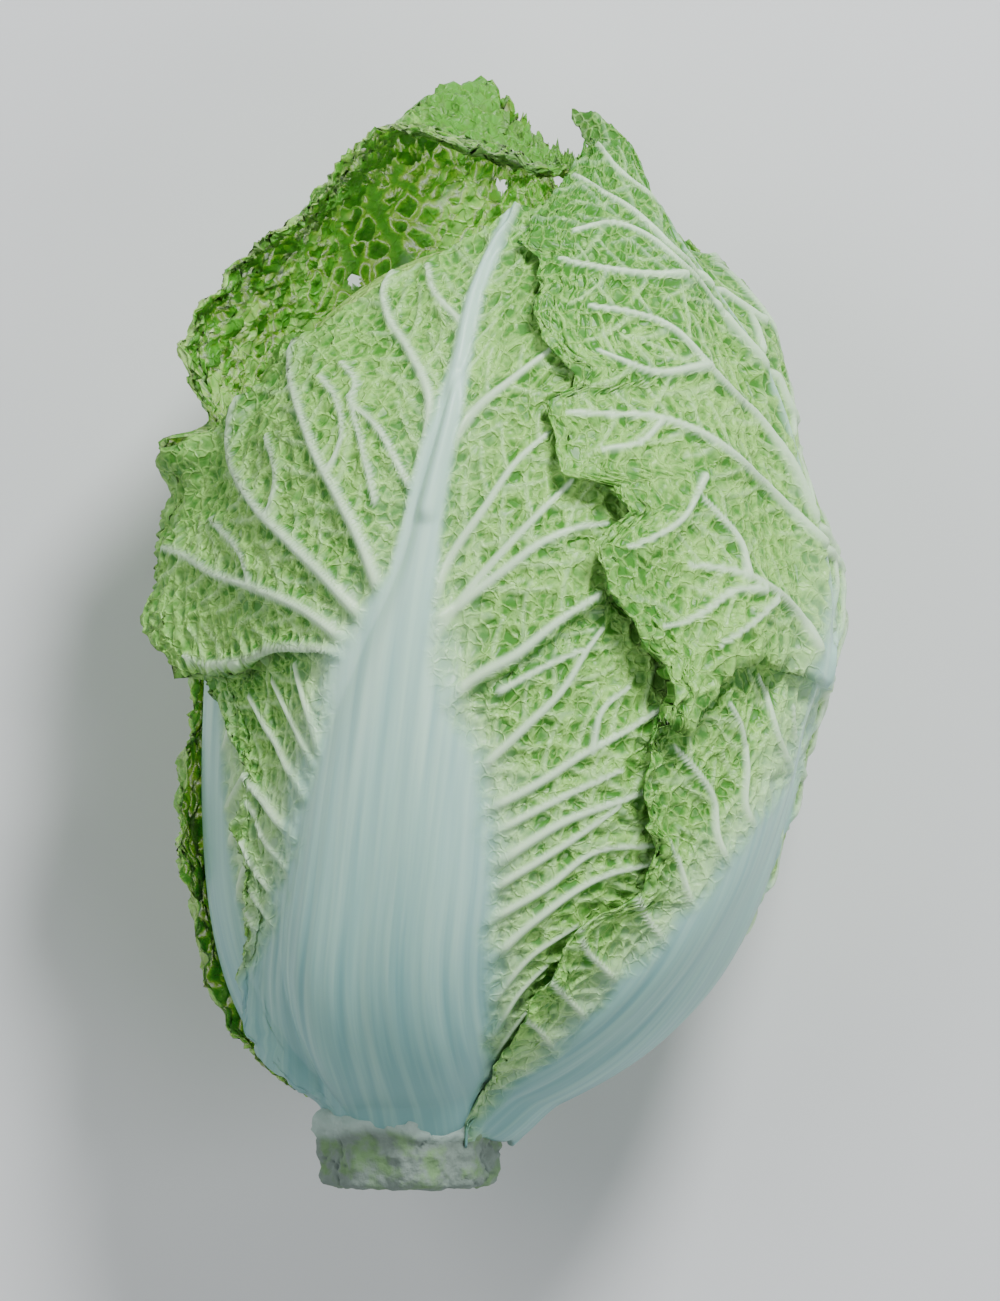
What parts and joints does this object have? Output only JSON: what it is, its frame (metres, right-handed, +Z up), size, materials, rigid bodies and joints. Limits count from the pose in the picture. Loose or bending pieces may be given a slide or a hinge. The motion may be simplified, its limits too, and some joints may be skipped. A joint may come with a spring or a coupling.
{
  "type": "napa cabbage",
  "caption": "Whole napa cabbage head lying on its side, with broad pale stalks, waved wrapper leaves round a packed heart and a cut stem.",
  "frame": {"origin": "on the surface under the middle of the head, at its lowest point", "axes": "+Y from the cut stem to the leaf tips, +Z up as the head lies, +X to the right seen from above with the stem nearest"},
  "size_m": [0.1818, 0.2856, 0.1391],
  "materials": {
    "stem": "matte pale cut stem with grey-green leaf scars",
    "inner_leaf": "pale yellow-green packed leaves, satin",
    "outer_leaf": "light green blistered blade with white ribs, satin and slightly waxy",
    "dark_leaf": "darker green blistered blade, satin"
  },
  "bodies": {
    "root": {"stem": "stem", "heart": "inner_leaf", "leaf_left": "outer_leaf", "leaf_under": "outer_leaf", "leaf_back": "dark_leaf", "leaf_front": "outer_leaf", "leaf_right": "outer_leaf"}
  },
  "joints": []
}
